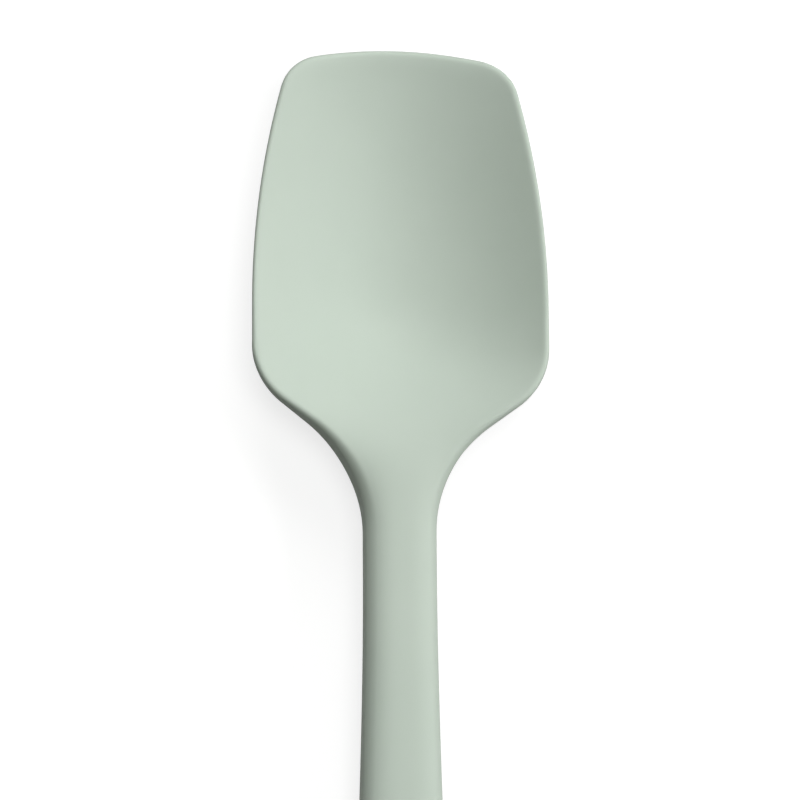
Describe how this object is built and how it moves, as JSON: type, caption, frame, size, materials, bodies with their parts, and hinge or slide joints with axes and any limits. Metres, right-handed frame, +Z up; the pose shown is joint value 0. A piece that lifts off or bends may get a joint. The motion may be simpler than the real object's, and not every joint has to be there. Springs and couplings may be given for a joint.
{
  "type": "silicone spatula",
  "caption": "One-piece silicone spoon spatula: a scooped head with a broad, gently arched tip on a slim flared handle with a hang hole, moulded over a hidden nylon core.",
  "frame": {"origin": "on the surface that the spatula lies on, below the middle of its bounding box", "axes": "+Y along the handle toward the tip, +Z up out of the scoop, +X across to the right when the tip is away from the viewer"},
  "size_m": [0.0598, 0.285, 0.0153],
  "materials": {
    "sage_silicone": "matt, soft touch",
    "natural_nylon": "as moulded, glass filled"
  },
  "bodies": {
    "root": {"silicone_overmould": "sage_silicone", "nylon_core": "natural_nylon"}
  },
  "joints": []
}
